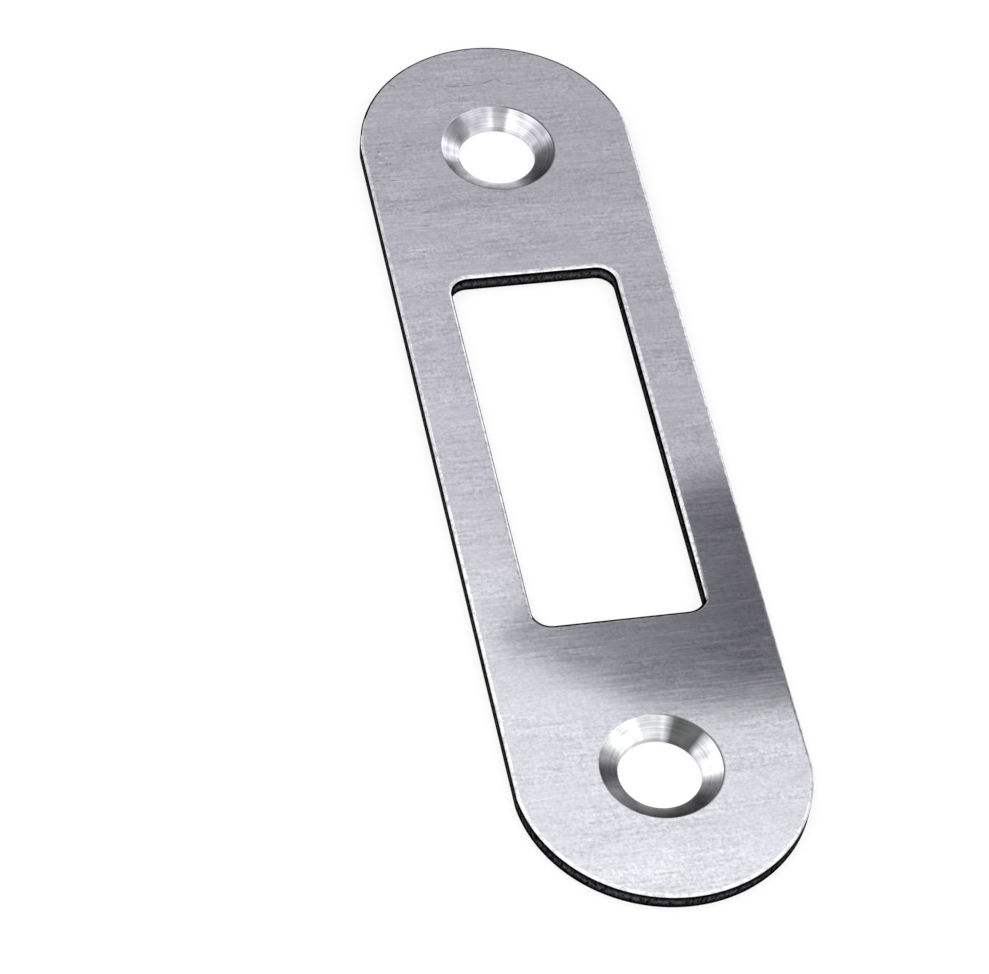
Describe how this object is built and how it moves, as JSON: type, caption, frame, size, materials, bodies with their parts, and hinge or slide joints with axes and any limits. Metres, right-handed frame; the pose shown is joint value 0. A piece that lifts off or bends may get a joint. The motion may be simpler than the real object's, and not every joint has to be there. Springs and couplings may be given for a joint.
{
  "type": "door strike plate",
  "caption": "Flat satin stainless strike plate with round ends, a rectangular bolt opening and countersunk screw holes.",
  "frame": {"origin": "middle of the flat back, which lies on the door frame or the table", "axes": "+X across the plate, +Y along its length, +Z out of the visible face, the side the countersinks open to"},
  "size_m": [0.024, 0.092, 0.0015],
  "materials": {
    "satin_steel": "satin stainless steel, brushed across the plate, with plain dark sheared edges and turned countersinks"
  },
  "bodies": {
    "root": {"strike_plate": "satin_steel"}
  },
  "joints": []
}
